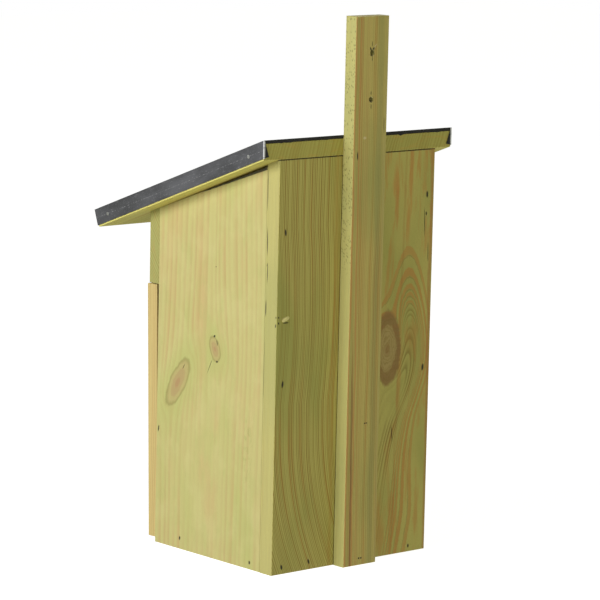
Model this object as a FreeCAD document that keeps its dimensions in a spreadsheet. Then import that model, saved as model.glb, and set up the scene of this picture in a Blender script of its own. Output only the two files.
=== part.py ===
import FreeCAD, Part
import math
import os
import re
import Sketcher

# Nest box of treated pine boards: a tall body with a sloped roof, a fixed upper front board with the
# entrance hole, a bottom-hung door below it, and a batten on the back by which it is hung.
# Frame: +Z up, the front faces -Y, the batten's rear face is furthest back at +Y. The origin is the
# bottom centre of the whole object's box. All sizes are in millimetres, angles in degrees.

SIZES = {
    # body
    "house_width": 200,
    "back_height": 402,              # rear face of the back board, from the base to the roof's underside
    "back_thickness": 18,
    "side_thickness": 15,
    "side_depth": 162,               # side boards, from the back board to the front boards
    "side_top_gap": 2,               # wedge left between roof and side board, at its rear end
    "floor_thickness": 15,
    "drain_radius": 4,
    "drain_inset": 32,               # drain holes, from the inner faces of the back and side boards
    "drain_front_inset": 42,         # and from the door
    # roof
    "roof_slope": 20,
    "roof_side_overhang": 20,
    "roof_front_overhang": 61.5,     # in front of the upper front board's face
    "roof_thickness": 15,
    "felt_thickness": 2.4,
    "sheet_thickness": 0.6,
    "flange_gap": 0.2,               # between the roof board's edges and the folded sheet
    "flange_height": 16.4,
    "tab_width": 6.5,                # sheet folded round each rear corner, at its lower edge
    "tab_top_width": 1,
    "tab_rise": 1.5,                 # how far the tab's lower edge slopes up
    # upper front board
    "front_thickness": 15,
    "upper_front_height": 76,        # its rear face, from its lower edge to the roof
    "entrance_radius": 22.5,
    "entrance_rise": 35.5,           # the entrance hole's middle, above the board's lower edge
    # door
    "door_side_inset": 4,            # from the box's outer faces to the door's edges
    "door_thickness": 15,
    "door_back_gap": 0.3,            # between the shut door and the side boards
    "door_top_gap": 2.1,             # between the door and the upper front board
    "door_underside_gap": 2.2,       # between the door and the hinge leaf under it
    "door_stands_out": 7.4,          # how far the ajar door's top edge stands out
    # hanging batten
    "batten_width": 42,
    "batten_thickness": 15,
    "batten_rise": 133,              # above the back board
    "hanging_hole_radius": 2.5,
    "hanging_hole_rise": 75.5,       # middle of the two hanging holes, above the back board
    "hanging_hole_spacing": 45,
    # butt hinges
    "base_clearance": 0.3,           # between the hinge leaf under the floor and the base
    "hinge_offset": 55,              # hinge centres, to each side of the middle
    "hinge_width": 30,
    "leaf_length": 30,               # from the hinge axis
    "leaf_thickness": 0.9,
    "middle_knuckle": 14,
    "knuckle_gap": 0.3,
    "gain_clearance": 0.4,           # round the knuckles and pin, where they are let into the door
    "pin_radius": 1,
    "pin_clearance": 0.05,
    "pin_head_radius": 1.5,
    "pin_head_height": 0.7,
    "hinge_screw_spacing": 16,
    "hinge_screw_reach": 21.5,       # from the hinge axis to the screws
    # square-bend hook that holds the door shut
    "hook_offset": 60,
    "hook_rise": 7.5,                # above the lower edge of the upper front board
    "hook_radius": 1.5,
    "hook_depth": 12,                # threaded into the board
    "hook_arm": 22,
    "hook_bend": 3.5,
    "hook_door_clearance": 0.8,      # between its arm and the ajar door
    "hook_hole_clearance": 0.05,
    # wire nails
    "nail_radius": 1.1,
    "nail_length": 30,
    "nail_head_radius": 1.7,
    "nail_head_height": 0.8,
    "nail_sunk": 0.6,                # depth of each head under the wood's surface
    "nail_hole_clearance": 0.05,
    "nail_inset": 9,                 # from the box's outer faces
    "nail_height": 7,                # nails near the base
    "low_nail_inset": 3.5,           # more inset for the side boards' lowest nails
    "right_upper_nail": 0.826,       # shares of back_height
    "right_middle_nail": 0.463,
    "left_upper_nail": 0.888,
    "left_middle_nail": 0.461,
    "batten_nail": 0.348,
    "batten_nail_shift": 3,          # from the batten's middle
    "right_floor_nail": 53,          # from the back board's middle
    "left_floor_nail": 78,
    "floor_nail_step": 1,            # above and below nail_height
    "side_nail_rear_inset": 15,
    "side_nail_front_inset": 39,
    "side_nail_step": 4,
    "front_nail_low": 12,            # above the upper front board's lower edge
    "front_nail_high": 54,
    "roof_nail_offset": 45,          # roof nails into the back and front boards, from the middle
    "roof_back_nail": 0.67,          # shares of the board below
    "roof_front_nail": 0.7,
    "roof_side_nail_rear": 0.26,
    "roof_side_nail_front": 0.75,
    # wood screws
    "screw_radius": 1.5,
    "screw_head_radius": 2.8,
    "screw_head_height": 1.3,
    "hinge_screw_length": 12,
    "batten_screw_length": 30,
    "lower_batten_screw": 0.23,      # shares of back_height
    "upper_batten_screw": 0.86,
    # sheet tacks
    "tack_radius": 0.7,
    "tack_head_radius": 1.8,
    "tack_head_height": 0.5,
    "tack_length": 12,
    "tack_front_inset": 19,
    "tack_rear_inset": 25,
    "tack_drop": 9,                  # below the top of the sheet
}

HOUSE, ROOF, DOOR = "house", "roof", "door"
NAIL_TAPER, SCREW_TAPER, COUNTERSINK = -14, -20, -45    # half angles of the points and heads

# Derived sizes, written with the names above.
TAN = "tan(roof_slope * 1deg)"
COS = "cos(roof_slope * 1deg)"
SIN = "sin(roof_slope * 1deg)"
FRONT_EDGE = "(back_thickness + side_depth)"
ROOF_WIDTH = "(house_width + 2 * roof_side_overhang)"
ROOF_LENGTH = f"(({FRONT_EDGE} + front_thickness + roof_front_overhang) / {COS})"
JOINT_HEIGHT = f"(back_height - {FRONT_EDGE} * {TAN} - upper_front_height)"
ENTRANCE_HEIGHT = f"({JOINT_HEIGHT} + entrance_rise)"
DOOR_WIDTH = "(house_width - 2 * door_side_inset)"
BATTEN_LENGTH = "(back_height + batten_rise)"
HOLES_HEIGHT = "(back_height + hanging_hole_rise)"
COVER_RISE = "(felt_thickness + sheet_thickness)"
ROOF_REACH = (f"(({ROOF_LENGTH} + flange_gap + sheet_thickness) * {COS} + {COVER_RISE} * {SIN})")
REAR_PLANE = f"(({ROOF_REACH} - batten_thickness) / 2)"
ROOF_REAR_TOP = f"(roof_thickness * {TAN})"
ROOF_FRONT = f"({ROOF_REAR_TOP} - {ROOF_LENGTH})"
ROOF_TOP = f"(roof_thickness + {COVER_RISE})"
KNUCKLE = "(pin_radius + pin_clearance + leaf_thickness)"
FLOOR_BASE = "(base_clearance + leaf_thickness)"
HINGE_Y = f"(-({FRONT_EDGE} + door_back_gap + door_thickness + leaf_thickness) + {KNUCKLE})"
HINGE_Z = f"(base_clearance + {KNUCKLE})"
DOOR_FACE = f"(leaf_thickness - {KNUCKLE})"
DOOR_BASE = f"({FLOOR_BASE} + door_underside_gap - {HINGE_Z})"
DOOR_TOP = f"({JOINT_HEIGHT} - door_top_gap - {HINGE_Z})"
DOOR_AJAR = f"asin(door_stands_out / {DOOR_TOP})"
HOOK_STANDOFF = "(door_stands_out + door_back_gap + hook_door_clearance + hook_radius)"
HOOK_Z = f"({JOINT_HEIGHT} + hook_rise)"

# Each sub-part is drawn in one of three frames, which its Placement puts in the object's frame.
# house: y = 0 is the back board's rear face. roof: z = 0 is the roof board's underside, y = 0 its rear
# edge. door: the hinge axis, turned with the door.
PLACEMENTS = {
    HOUSE: {"Base.y": REAR_PLANE},
    ROOF: {"Base.y": REAR_PLANE, "Base.z": "back_height", "Rotation.Angle": "roof_slope"},
    DOOR: {"Base.y": f"{REAR_PLANE} + {HINGE_Y}", "Base.z": HINGE_Z, "Rotation.Angle": DOOR_AJAR},
}

WORDS = re.compile(r"\b(" + "|".join(sorted(SIZES, key=len, reverse=True)) + r")\b")

doc = FreeCAD.newDocument("NestBox")
sheet = doc.addObject("Spreadsheet::Sheet", "Sizes")
for row, (alias, amount) in enumerate(SIZES.items(), 1):
    sheet.set(f"A{row}", alias)
    sheet.set(f"B{row}", str(amount))
    sheet.setAlias(f"B{row}", alias)
doc.recompute()

parts = []


def bind(text):
    """Turn an expression on size names into one on the sheet's cells."""
    return WORDS.sub(r"Sizes.\1", str(text))


def number(text):
    """The value of an expression on size names."""
    result = sheet.evalExpression(bind(text))
    return float(getattr(result, "Value", result))


def new_body(label, frame=HOUSE):
    """An empty body with its place in the object's frame."""
    body = doc.addObject("PartDesign::Body", label)
    body.Label = label
    body.AllowCompound = True
    body.Placement = FreeCAD.Placement(FreeCAD.Vector(), FreeCAD.Rotation(FreeCAD.Vector(1, 0, 0), 1))
    if frame == HOUSE:
        body.Placement = FreeCAD.Placement()
    for path, text in PLACEMENTS[frame].items():
        body.setExpression(f"Placement.{path}", bind(text))
    body.addProperty("App::PropertyString", "Frame")
    body.Frame = frame
    parts.append(body)
    return body


def new_sketch(body, plane, offset="0", on_roof=False):
    """A sketch on one of the body's own origin planes, moved along its normal by offset.

    The normals are +X for YZ, -Y for XZ and +Z for XY. With on_roof, an XY sketch of a body drawn in the
    house frame lies parallel to the roof, offset above its underside.
    """
    sketch = body.newObject("Sketcher::SketchObject", f"{body.Label}_sketch")
    origin_plane = next(item for item in body.Origin.OriginFeatures if item.Role == f"{plane}_Plane")
    sketch.AttachmentSupport = [(origin_plane, "")]
    sketch.MapMode = "FlatFace"
    if on_roof and body.Frame == HOUSE:
        tilt = FreeCAD.Rotation(FreeCAD.Vector(1, 0, 0), 1)
        sketch.AttachmentOffset = FreeCAD.Placement(FreeCAD.Vector(), tilt)
        sketch.setExpression("AttachmentOffset.Rotation.Angle", bind("roof_slope"))
        sketch.setExpression("AttachmentOffset.Base.y", bind(f"-({offset}) * {SIN}"))
        sketch.setExpression("AttachmentOffset.Base.z", bind(f"back_height + ({offset}) * {COS}"))
    else:
        sketch.setExpression("AttachmentOffset.Base.z", bind(offset))
    return sketch


def pin_point(sketch, geometry, vertex, place):
    """Fix a point of the sketch at a place given by two expressions."""
    for kind, text in zip(("DistanceX", "DistanceY"), place):
        index = sketch.addConstraint(Sketcher.Constraint(kind, -1, 1, geometry, vertex, number(text)))
        sketch.setExpression(f"Constraints[{index}]", bind(text))


def draw_polygon(sketch, corners):
    """A closed outline through corners given as pairs of expressions."""
    points = [FreeCAD.Vector(number(x), number(y), 0) for x, y in corners]
    first = sketch.GeometryCount
    count = len(points)
    for index in range(count):
        sketch.addGeometry(Part.LineSegment(points[index], points[(index + 1) % count]), False)
    for index, corner in enumerate(corners):
        following = first + (index + 1) % count
        sketch.addConstraint(Sketcher.Constraint("Coincident", first + index, 2, following, 1))
        pin_point(sketch, first + index, 1, corner)
    return sketch


def draw_rectangle(sketch, low, high):
    """A rectangle between two corners given as pairs of expressions."""
    return draw_polygon(sketch, [low, (high[0], low[1]), high, (low[0], high[1])])


def draw_circles(sketch, centres, radius):
    """Circles of one radius at centres given as pairs of expressions."""
    for place in centres:
        centre = FreeCAD.Vector(number(place[0]), number(place[1]), 0)
        circle = Part.Circle(centre, FreeCAD.Vector(0, 0, 1), number(radius))
        geometry = sketch.addGeometry(circle, False)
        pin_point(sketch, geometry, 3, place)
        index = sketch.addConstraint(Sketcher.Constraint("Radius", geometry, number(radius)))
        sketch.setExpression(f"Constraints[{index}]", bind(radius))
    return sketch


def pad(sketch, length, reverse=False, taper=0):
    """Add the sketch's outline to its body, over a length along or against its normal."""
    body = sketch.getParentGeoFeatureGroup()
    feature = body.newObject("PartDesign::Pad", f"{body.Label}_pad")
    feature.Profile = sketch
    feature.Reversed = reverse
    feature.TaperAngle = taper
    feature.setExpression("Length", bind(length))
    return feature


def pocket(sketch, length, reverse=False, taper=0):
    """Cut the sketch's outline from its body along its normal, and check that it cut something."""
    body = sketch.getParentGeoFeatureGroup()
    doc.recompute()
    before = body.Shape.Volume
    feature = body.newObject("PartDesign::Pocket", f"{body.Label}_pocket")
    feature.Profile = sketch
    feature.Reversed = not reverse
    feature.TaperAngle = taper
    feature.setExpression("Length", bind(length))
    doc.recompute()
    if not body.Shape.Volume < before - 1e-6:
        raise RuntimeError(f"{body.Label}: a pocket cut nothing")
    return feature


def board_across(label, outline, half_width, frame=HOUSE):
    """A board drawn in side view and as wide as twice half_width, centred on the middle."""
    body = new_body(label, frame)
    sketch = draw_polygon(new_sketch(body, "YZ", f"-({half_width})"), outline)
    pad(sketch, f"2 * ({half_width})")
    return body


class Fasteners:
    """Identical nails or screws on one plane: where they start, which way they go, and their steps.

    Each step is (radius, start, length, taper): a cylinder, or a cone where taper narrows it.
    """

    clearance = "nail_hole_clearance"

    def __init__(self, plane, offset, centres, steps, reverse=False, on_roof=False):
        self.plane, self.offset, self.centres = plane, offset, centres
        self.steps, self.reverse, self.on_roof = steps, reverse, on_roof

    def step_sketch(self, body, radius, start, centres):
        sign = "-" if self.reverse else "+"
        sketch = new_sketch(body, self.plane, f"({self.offset}) {sign} ({start})", self.on_roof)
        return draw_circles(sketch, centres, radius)

    def add_to(self, body):
        """Make the fasteners in a body."""
        for radius, start, length, taper in self.steps:
            pad(self.step_sketch(body, radius, start, self.centres), length, self.reverse, taper)
        return body

    def bore(self, body, keep=None, sunk="0"):
        """Cut the holes that the fasteners run in."""
        self.bore_head(body, keep, sunk)
        self.bore_shank(body, keep)

    def bore_head(self, body, keep=None, sunk="0"):
        """Cut only the heads' seats, and any sunk mouth above them."""
        centres = self.chosen(keep)
        radius, start, length, taper = self.steps[0]
        seat = f"({radius}) + {self.clearance}"
        if number(sunk) > 0:
            mouth = self.step_sketch(body, seat, f"({start}) - ({sunk})", centres)
            pocket(mouth, sunk, self.reverse)
        pocket(self.step_sketch(body, seat, start, centres), length, self.reverse, taper)

    def bore_shank(self, body, keep=None):
        """Cut only the straight hole of the shank, from its head to just past its point."""
        radius, start, length, _ = self.steps[1]
        sketch = self.step_sketch(body, f"({radius}) + {self.clearance}", start, self.chosen(keep))
        pocket(sketch, f"({length}) + ({self.steps[2][2]}) + {self.clearance}", self.reverse)

    def chosen(self, keep):
        return [self.centres[index] for index in keep] if keep else self.centres


def nail_steps():
    """A flat head just under the surface, a round shank and a short point."""
    point = "3 * nail_radius"
    shank = f"nail_length - nail_sunk - nail_head_height - {point}"
    return [
        ("nail_head_radius", "nail_sunk", "nail_head_height", 0),
        ("nail_radius", "nail_sunk + nail_head_height", shank, 0),
        ("nail_radius", f"nail_length - {point}", point, NAIL_TAPER),
    ]


def screw_steps(length):
    """A countersunk head flush with the surface, a shank and a short point."""
    point = "2 * screw_radius"
    return [
        ("screw_head_radius", "0", "screw_head_height", COUNTERSINK),
        ("screw_radius", "screw_head_height", f"{length} - screw_head_height - {point}", 0),
        ("screw_radius", f"{length} - {point}", point, SCREW_TAPER),
    ]


def roof_line(depth, drop="0"):
    """A point of the roof's underside in side view, at a depth in front of the rear face."""
    return (f"-({depth})", f"back_height - ({depth}) * {TAN} - ({drop})")


SIDE_X = "(house_width / 2 - nail_inset)"
HALF_WIDTH = "house_width / 2"
INNER_HALF = "(house_width / 2 - side_thickness)"

back_nails = Fasteners("XZ", "0", [
    (SIDE_X, "back_height * right_upper_nail"),
    (SIDE_X, "back_height * right_middle_nail"),
    (f"{SIDE_X} - low_nail_inset", "nail_height"),
    (f"-{SIDE_X}", "back_height * left_upper_nail"),
    (f"-{SIDE_X}", "back_height * left_middle_nail"),
    (f"-{SIDE_X} + low_nail_inset", "nail_height"),
    ("right_floor_nail", "nail_height + floor_nail_step"),
    ("-left_floor_nail", "nail_height - floor_nail_step"),
], nail_steps())
RIGHT_SIDE_NAILS, LEFT_SIDE_NAILS, FLOOR_NAILS = (0, 1, 2), (3, 4, 5), (6, 7)

side_nail_places = [
    ("-(back_thickness + side_nail_rear_inset)", "nail_height"),
    ("-(back_thickness + side_depth - side_nail_front_inset)", "nail_height + side_nail_step"),
]
right_nails = Fasteners("YZ", HALF_WIDTH, side_nail_places, nail_steps(), reverse=True)
left_nails = Fasteners("YZ", f"-{HALF_WIDTH}", side_nail_places, nail_steps())

upper_front_nails = Fasteners("XZ", f"{FRONT_EDGE} + front_thickness", [
    (f"{side} * (house_width / 2 - side_thickness / 2)", f"{JOINT_HEIGHT} + {rise}")
    for side in (1, -1) for rise in ("front_nail_low", "front_nail_high")
], nail_steps(), reverse=True)

roof_nails = Fasteners("XY", "roof_thickness", [
    (f"{side} * (house_width / 2 - side_thickness / 2)", f"-(back_thickness + side_depth * {share})")
    for side in (1, -1) for share in ("roof_side_nail_rear", "roof_side_nail_front")
] + [
    (f"{side} * roof_nail_offset", f"-(back_thickness * roof_back_nail) / {COS}") for side in (1, -1)
] + [
    (f"{side} * roof_nail_offset", f"-({FRONT_EDGE} + front_thickness * roof_front_nail) / {COS}")
    for side in (1, -1)
], nail_steps(), reverse=True, on_roof=True)
ROOF_TO_RIGHT, ROOF_TO_LEFT, ROOF_TO_BACK, ROOF_TO_FRONT = (0, 1), (2, 3), (4, 5), (6, 7)

batten_nails = Fasteners("XZ", "-batten_thickness", [
    ("0", "nail_height"), ("-batten_nail_shift", "back_height * batten_nail"),
], nail_steps())

batten_screws = Fasteners("XZ", "back_thickness", [
    ("0", "back_height * lower_batten_screw"), ("0", "back_height * upper_batten_screw"),
], screw_steps("batten_screw_length"), reverse=True)

hinge_floor_screws = Fasteners("XY", "base_clearance", [
    (f"{side} * hinge_offset + {shift} * hinge_screw_spacing / 2", f"{HINGE_Y} + hinge_screw_reach")
    for side in (1, -1) for shift in (1, -1)
], screw_steps("hinge_screw_length"))

hinge_door_screws = Fasteners("XZ", KNUCKLE, [
    (f"{side} * hinge_offset + {shift} * hinge_screw_spacing / 2", "hinge_screw_reach")
    for side in (1, -1) for shift in (1, -1)
], screw_steps("hinge_screw_length"), reverse=True)

tack_steps = [
    ("tack_head_radius", "0", "tack_head_height", 0),
    ("tack_radius", "tack_head_height", "tack_length - 2 * tack_radius", 0),
    ("tack_radius / 2", "tack_head_height + tack_length - 2 * tack_radius", "2 * tack_radius", 0),
]
COVER_SIDE = f"({ROOF_WIDTH} / 2 + flange_gap + sheet_thickness)"
TACK_RISE = f"{ROOF_TOP} - tack_drop"
side_tack_places = [
    (f"{ROOF_REAR_TOP} - tack_rear_inset", TACK_RISE),
    (f"{ROOF_FRONT} + tack_front_inset", TACK_RISE),
]
right_tacks = Fasteners("YZ", f"{COVER_SIDE} + tack_head_height", side_tack_places, tack_steps, reverse=True)
left_tacks = Fasteners("YZ", f"-({COVER_SIDE} + tack_head_height)", side_tack_places, tack_steps)
front_tacks = Fasteners(
    "XZ", f"-({ROOF_FRONT}) + flange_gap + sheet_thickness + tack_head_height",
    [(f"{side} * {ROOF_WIDTH} / 3", TACK_RISE) for side in (-1, 0, 1)], tack_steps, reverse=True)


def make_back_board():
    back = board_across("back_board", [
        ("0", "0"), ("0", "back_height"), roof_line("back_thickness"), ("-back_thickness", "0"),
    ], HALF_WIDTH)
    back_nails.bore(back, sunk="nail_sunk")
    roof_nails.bore_shank(back, ROOF_TO_BACK)
    batten_nails.bore_shank(back)
    batten_screws.bore(back)


def make_batten():
    batten = board_across("hanging_batten", [
        ("0", "0"), ("batten_thickness", "0"), ("batten_thickness", BATTEN_LENGTH), ("0", BATTEN_LENGTH),
    ], "batten_width / 2")
    places = [("0", f"{HOLES_HEIGHT} + {side} * hanging_hole_spacing / 2") for side in (1, -1)]
    holes = draw_circles(new_sketch(batten, "XZ", "0"), places, "hanging_hole_radius")
    pocket(holes, "batten_thickness", reverse=True)
    batten_nails.bore(batten, sunk="nail_sunk")
    batten_screws.bore_shank(batten)


def make_side_board(label, start, nails, from_back, from_roof, from_front):
    side = new_body(label)
    sketch = draw_polygon(new_sketch(side, "YZ", start), [
        ("-back_thickness", "0"), roof_line("back_thickness", "side_top_gap"),
        roof_line(FRONT_EDGE), (f"-{FRONT_EDGE}", "0"),
    ])
    pad(sketch, "side_thickness")
    nails.bore(side, sunk="nail_sunk")
    back_nails.bore_shank(side, from_back)
    roof_nails.bore_shank(side, from_roof)
    upper_front_nails.bore_shank(side, from_front)


def make_floor_board():
    floor = board_across("floor_board", [
        ("-back_thickness", FLOOR_BASE), ("-back_thickness", f"{FLOOR_BASE} + floor_thickness"),
        (f"-{FRONT_EDGE}", f"{FLOOR_BASE} + floor_thickness"), (f"-{FRONT_EDGE}", FLOOR_BASE),
    ], INNER_HALF)
    places = [
        (f"{side} * ({INNER_HALF} - drain_inset)", depth) for side in (1, -1)
        for depth in ("-(back_thickness + drain_inset)", f"-({FRONT_EDGE} - drain_front_inset)")
    ]
    drains = draw_circles(new_sketch(floor, "XY", FLOOR_BASE), places, "drain_radius")
    pocket(drains, "floor_thickness")
    back_nails.bore_shank(floor, FLOOR_NAILS)
    right_nails.bore_shank(floor)
    left_nails.bore_shank(floor)
    hinge_floor_screws.bore(floor)


def make_upper_front_board():
    face = f"{FRONT_EDGE} + front_thickness"
    front = board_across("upper_front_board", [
        (f"-{FRONT_EDGE}", JOINT_HEIGHT), roof_line(FRONT_EDGE),
        roof_line(face), (f"-({face})", JOINT_HEIGHT),
    ], HALF_WIDTH)
    hole = draw_circles(new_sketch(front, "XZ", FRONT_EDGE), [("0", ENTRANCE_HEIGHT)], "entrance_radius")
    pocket(hole, "front_thickness")
    socket = draw_circles(new_sketch(front, "XZ", face), [("hook_offset", HOOK_Z)],
                          "hook_radius + hook_hole_clearance")
    pocket(socket, "hook_depth", reverse=True)
    upper_front_nails.bore(front, sunk="nail_sunk")
    roof_nails.bore_shank(front, ROOF_TO_FRONT)


def make_door_board():
    door = new_body("door_board", DOOR)
    sketch = draw_polygon(new_sketch(door, "YZ", f"-{DOOR_WIDTH} / 2"), [
        (DOOR_FACE, DOOR_BASE), (DOOR_FACE, DOOR_TOP),
        (f"{DOOR_FACE} + door_thickness", DOOR_TOP), (f"{DOOR_FACE} + door_thickness", DOOR_BASE),
    ])
    pad(sketch, DOOR_WIDTH)
    reach = f"{KNUCKLE} + gain_clearance"
    margin = "(pin_head_height + gain_clearance)"
    for side in ("-", ""):
        start = f"{side}hinge_offset - hinge_width / 2 - {margin}"
        gain = draw_rectangle(new_sketch(door, "YZ", start),
                              (f"{DOOR_FACE} - 1", f"{DOOR_BASE} - 1"), (reach, reach))
        pocket(gain, f"hinge_width + 2 * {margin}")
    hinge_door_screws.bore(door)


def make_roof():
    def layer(label, low, high):
        return board_across(label, [
            (f"({low}) * {TAN}", low), (f"({high}) * {TAN}", high), (ROOF_FRONT, high), (ROOF_FRONT, low),
        ], f"{ROOF_WIDTH} / 2", ROOF)

    roof = layer("roof_board", "0", "roof_thickness")
    roof_nails.bore(roof, sunk="nail_sunk")
    felt = layer("roof_felt", "roof_thickness", "roof_thickness + felt_thickness")
    for tacks in (right_tacks, left_tacks, front_tacks):
        tacks.bore_shank(roof)
    return roof, felt


def make_roof_cover():
    cover = new_body("roof_cover", ROOF)
    front = f"{ROOF_FRONT} - flange_gap - sheet_thickness"
    top, under = ROOF_TOP, f"{ROOF_TOP} - sheet_thickness"
    hem = f"{ROOF_TOP} - flange_height"
    sheet_top = draw_polygon(new_sketch(cover, "YZ", f"-{COVER_SIDE}"), [
        (f"({under}) * {TAN}", under), (f"({top}) * {TAN}", top), (front, top), (front, under),
    ])
    pad(sheet_top, f"2 * {COVER_SIDE}")
    rear = "flange_gap + sheet_thickness"
    for start in (f"-{COVER_SIDE}", f"{COVER_SIDE} - sheet_thickness"):
        flange = draw_polygon(new_sketch(cover, "YZ", start), [
            (f"({hem}) * {TAN} + {rear}", hem), (f"({under}) * {TAN} + {rear}", under),
            (f"({top}) * {TAN}", top), (front, top), (front, hem),
        ])
        pad(flange, "sheet_thickness")
    hem_front = draw_rectangle(new_sketch(cover, "YZ", f"-{COVER_SIDE}"),
                               (front, hem), (f"{front} + sheet_thickness", top))
    pad(hem_front, f"2 * {COVER_SIDE}")
    for side in (1, -1):
        make_corner_tab(cover, side, hem, under)
    for tacks in (right_tacks, left_tacks, front_tacks):
        tacks.bore_shank(cover)
    return cover


def make_corner_tab(cover, side, hem, under):
    """The triangle of sheet folded round a rear corner, lying on the roof board's plumb rear face."""
    tab = new_sketch(cover, "XZ", "0")
    tab.AttachmentOffset = FreeCAD.Placement(
        FreeCAD.Vector(), FreeCAD.Rotation(FreeCAD.Vector(1, 0, 0), -1))
    tab.setExpression("AttachmentOffset.Rotation.Angle", bind("-roof_slope * 1deg"))
    tab.setExpression("AttachmentOffset.Base.z", bind(f"-flange_gap * {COS}"))
    tab.setExpression("AttachmentOffset.Base.y", bind(f"flange_gap * {SIN}"))
    outer, low, high = f"{side} * {COVER_SIDE}", f"({hem}) / {COS}", f"({under}) / {COS}"
    draw_polygon(tab, [
        (outer, low), (f"{outer} - {side} * tab_width", f"{low} + tab_rise"),
        (f"{outer} - {side} * tab_top_width", high),
        (outer, high),
    ])
    pad(tab, "sheet_thickness", reverse=True)


def make_hinge(name, centre):
    """A pressed butt hinge: a leaf under the floor, a leaf on the door's face and a pin with two heads."""
    low = f"{centre} - hinge_width / 2"
    end = "(hinge_width - middle_knuckle) / 2"
    middle = [(f"{low} + {end} + knuckle_gap", "middle_knuckle - 2 * knuckle_gap")]
    outer = [(low, end), (f"{low} + {end} + middle_knuckle", end)]
    floor_leaf = new_body(f"hinge_{name}_floor_leaf")
    draw_leaf(floor_leaf, low, outer, (HINGE_Y, HINGE_Z), lambda along, across: (
        f"{HINGE_Y} + {along}", f"{HINGE_Z} + {across}"))
    hinge_floor_screws.bore_head(floor_leaf, (0, 1) if name == "right" else (2, 3))
    door_leaf = new_body(f"hinge_{name}_door_leaf", DOOR)
    draw_leaf(door_leaf, low, middle, ("0", "0"), lambda along, across: (across, along))
    hinge_door_screws.bore_head(door_leaf, (0, 1) if name == "right" else (2, 3))
    pin = Fasteners("YZ", f"{low} - pin_head_height", [(HINGE_Y, HINGE_Z)], [
        ("pin_head_radius", "0", "pin_head_height", 0),
        ("pin_radius", "pin_head_height", "hinge_width", 0),
        ("pin_head_radius", "pin_head_height + hinge_width", "pin_head_height", 0),
    ])
    pin.add_to(new_body(f"hinge_{name}_pin"))


def draw_leaf(leaf, low, knuckles, axis, place):
    """A flat leaf tangent to its knuckles, bored for the pin."""
    near, level = f"({KNUCKLE} + knuckle_gap)", f"(-{KNUCKLE})"
    plate = draw_rectangle(new_sketch(leaf, "YZ", low),
                           place(near, level), place("leaf_length", f"{level} + leaf_thickness"))
    pad(plate, "hinge_width")
    for start, length in knuckles:
        tongue = draw_rectangle(new_sketch(leaf, "YZ", start),
                                place("0", level), place(near, f"{level} + leaf_thickness"))
        pad(tongue, length)
        pad(draw_circles(new_sketch(leaf, "YZ", start), [axis], KNUCKLE), length)
    bore = draw_circles(new_sketch(leaf, "YZ", low), [axis], "pin_radius + pin_clearance")
    pocket(bore, "hinge_width")


def make_catch_hook():
    """A square-bend screw hook, its arm level at rest. Turned down, it holds the door's top edge."""
    hook = new_body("catch_hook")
    face = f"({FRONT_EDGE} + front_thickness)"
    inner = f"-{face} + hook_depth"
    bend_start = f"-({face} + {HOOK_STANDOFF} - hook_bend)"
    arm_line = f"-({face} + {HOOK_STANDOFF})"
    path = new_sketch(hook, "XY", HOOK_Z)
    corners = [("hook_offset", inner), ("hook_offset", bend_start),
               ("hook_offset + hook_bend", arm_line), ("hook_offset + hook_arm", arm_line)]
    points = [FreeCAD.Vector(number(x), number(y), 0) for x, y in corners]
    centre = FreeCAD.Vector(points[2].x, points[1].y, 0)
    bend = Part.Circle(centre, FreeCAD.Vector(0, 0, 1), number("hook_bend"))
    arc = Part.ArcOfCircle(bend, math.pi, 1.5 * math.pi)
    shank_line = path.addGeometry(Part.LineSegment(points[0], points[1]), False)
    bend_arc = path.addGeometry(arc, False)
    arm = path.addGeometry(Part.LineSegment(points[2], points[3]), False)
    path.addConstraint(Sketcher.Constraint("Tangent", shank_line, 2, bend_arc, 1))
    path.addConstraint(Sketcher.Constraint("Coincident", bend_arc, 2, arm, 1))
    pin_point(path, shank_line, 1, corners[0])
    pin_point(path, shank_line, 2, corners[1])
    pin_point(path, arm, 1, corners[2])
    pin_point(path, arm, 2, corners[3])
    profile = draw_circles(new_sketch(hook, "XZ", f"-({inner})"), [("hook_offset", HOOK_Z)], "hook_radius")
    wire = hook.newObject("PartDesign::AdditivePipe", "catch_hook_wire")
    wire.Profile = profile
    wire.Spine = (path, [])
    doc.recompute()


def make_fastener_bodies():
    back_nails.add_to(new_body("back_nails"))
    left_nails.add_to(right_nails.add_to(new_body("side_nails")))
    upper_front_nails.add_to(new_body("upper_front_nails"))
    roof_nails.add_to(new_body("roof_nails", ROOF))
    batten_nails.add_to(new_body("batten_nails"))
    batten_screws.add_to(new_body("batten_screws"))
    hinge_floor_screws.add_to(new_body("hinge_floor_screws"))
    hinge_door_screws.add_to(new_body("hinge_door_screws", DOOR))
    tacks = new_body("cover_tacks", ROOF)
    for group in (right_tacks, left_tacks, front_tacks):
        group.add_to(tacks)


def check_and_write():
    """Stop if any feature failed, then write each sub-part to its own file."""
    doc.recompute()
    for item in doc.Objects:
        if "Invalid" in item.State or "Error" in item.State:
            raise RuntimeError(f"{item.Label} failed: {item.State}")
    os.makedirs("parts", exist_ok=True)
    for body in parts:
        shape = body.Shape
        if shape.isNull() or not shape.isValid():
            raise RuntimeError(f"{body.Label} has no valid shape")
        shape.exportStep(f"parts/{body.Label}.step")
        print(f"{body.Label}: {len(shape.Solids)} solid(s), {shape.Volume:.1f} mm3")


make_back_board()
make_batten()
make_side_board("right_side_board", f"{HALF_WIDTH} - side_thickness", right_nails,
                RIGHT_SIDE_NAILS, ROOF_TO_RIGHT, (0, 1))
make_side_board("left_side_board", f"-{HALF_WIDTH}", left_nails,
                LEFT_SIDE_NAILS, ROOF_TO_LEFT, (2, 3))
make_floor_board()
make_upper_front_board()
make_door_board()
make_roof()
make_roof_cover()
make_hinge("right", "hinge_offset")
make_hinge("left", "-hinge_offset")
make_catch_hook()
make_fastener_bodies()
check_and_write()
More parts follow.
